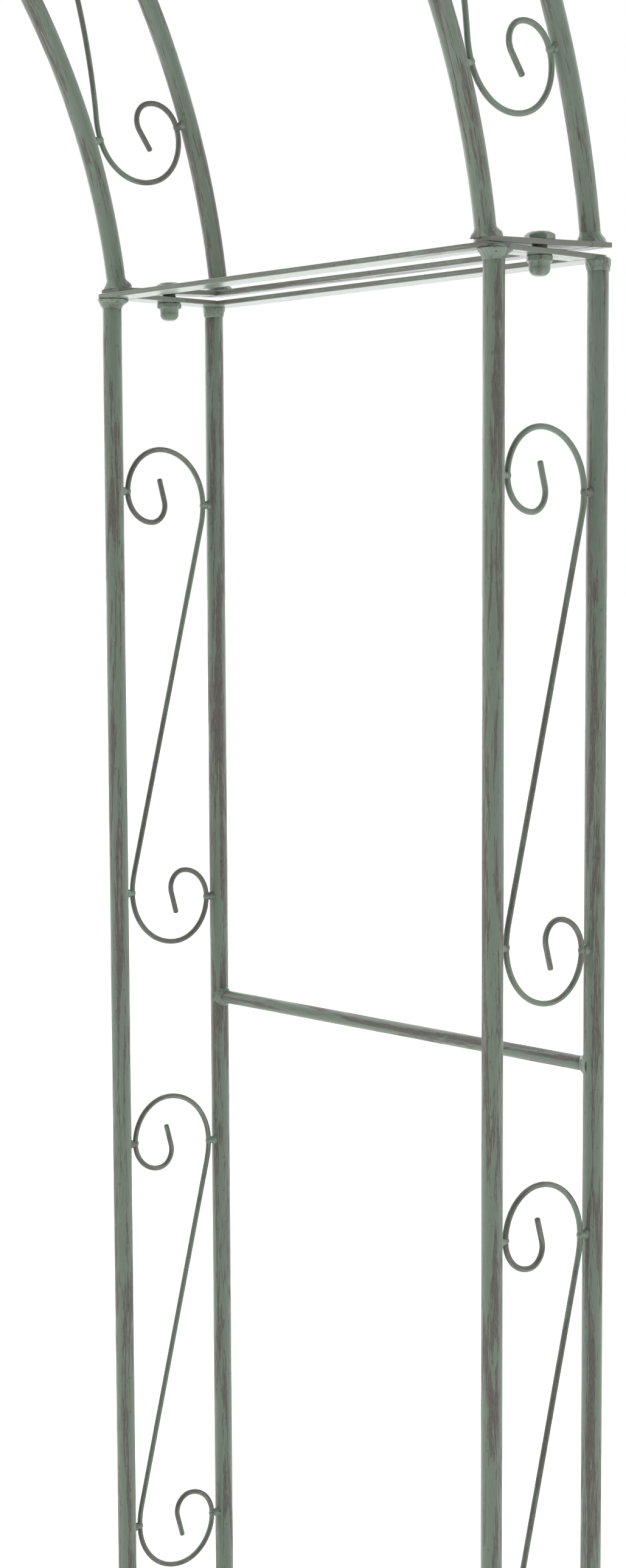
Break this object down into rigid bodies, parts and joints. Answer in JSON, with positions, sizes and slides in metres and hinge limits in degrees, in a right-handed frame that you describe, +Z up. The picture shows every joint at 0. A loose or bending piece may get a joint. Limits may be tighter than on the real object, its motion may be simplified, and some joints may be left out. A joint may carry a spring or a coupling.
{
  "type": "metal trellis arch",
  "caption": "Free-standing garden arch of painted steel tube: two lattice towers with scrolled wire panels, and a round top of hoops bolted onto flat-bar frames.",
  "frame": {"origin": "on the ground, in the middle of the footprint", "axes": "+Z up, +X across the passage, +Y through the passage from front to rear"},
  "size_m": [1.16, 0.407, 2.0933],
  "materials": {
    "tube_paint": "satin sage green, brushed along the tube with a thin brown-grey patina",
    "wire_paint": "satin sage green with brown-grey rubbed patches",
    "bar_paint": "satin sage green with a brown-grey wash on the edges",
    "weld_paint": "satin sage green over rough weld beads",
    "fastener_paint": "smooth satin sage green",
    "plug_plastic": "matt dark green"
  },
  "bodies": {
    "root": {"arch_crossbar_1": "tube_paint", "arch_crossbar_2": "tube_paint", "crossbar_welds": "weld_paint", "foot_plugs": "plug_plastic", "front_arch_scroll_1": "wire_paint", "front_arch_scroll_2": "wire_paint", "front_arch_scroll_3": "wire_paint", "front_inner_hoop": "tube_paint", "front_outer_hoop": "tube_paint", "hoop_foot_welds": "weld_paint", "joint_bolts": "fastener_paint", "joint_cap_nuts": "fastener_paint", "left_arch_foot_front_bar": "bar_paint", "left_arch_foot_outer_bar": "bar_paint", "left_arch_foot_rear_bar": "bar_paint", "left_crossbar_lower": "tube_paint", "left_crossbar_middle": "tube_paint", "left_crossbar_upper": "tube_paint", "left_front_inner_post": "tube_paint", "left_front_outer_post": "tube_paint", "left_front_scroll_1": "wire_paint", "left_front_scroll_2": "wire_paint", "left_front_scroll_3": "wire_paint", "left_rear_inner_post": "tube_paint", "left_rear_outer_post": "tube_paint", "left_rear_scroll_1": "wire_paint", "left_rear_scroll_2": "wire_paint", "left_rear_scroll_3": "wire_paint", "left_tower_front_bar": "bar_paint", "left_tower_inner_bar": "bar_paint", "left_tower_outer_bar": "bar_paint", "left_tower_rear_bar": "bar_paint", "post_top_welds": "weld_paint", "rear_arch_scroll_1": "wire_paint", "rear_arch_scroll_2": "wire_paint", "rear_arch_scroll_3": "wire_paint", "rear_inner_hoop": "tube_paint", "rear_outer_hoop": "tube_paint", "right_arch_foot_front_bar": "bar_paint", "right_arch_foot_outer_bar": "bar_paint", "right_arch_foot_rear_bar": "bar_paint", "right_crossbar_lower": "tube_paint", "right_crossbar_middle": "tube_paint", "right_crossbar_upper": "tube_paint", "right_front_inner_post": "tube_paint", "right_front_outer_post": "tube_paint", "right_front_scroll_1": "wire_paint", "right_front_scroll_2": "wire_paint", "right_front_scroll_3": "wire_paint", "right_rear_inner_post": "tube_paint", "right_rear_outer_post": "tube_paint", "right_rear_scroll_1": "wire_paint", "right_rear_scroll_2": "wire_paint", "right_rear_scroll_3": "wire_paint", "right_tower_front_bar": "bar_paint", "right_tower_inner_bar": "bar_paint", "right_tower_outer_bar": "bar_paint", "right_tower_rear_bar": "bar_paint", "scroll_welds": "weld_paint"}
  },
  "joints": []
}
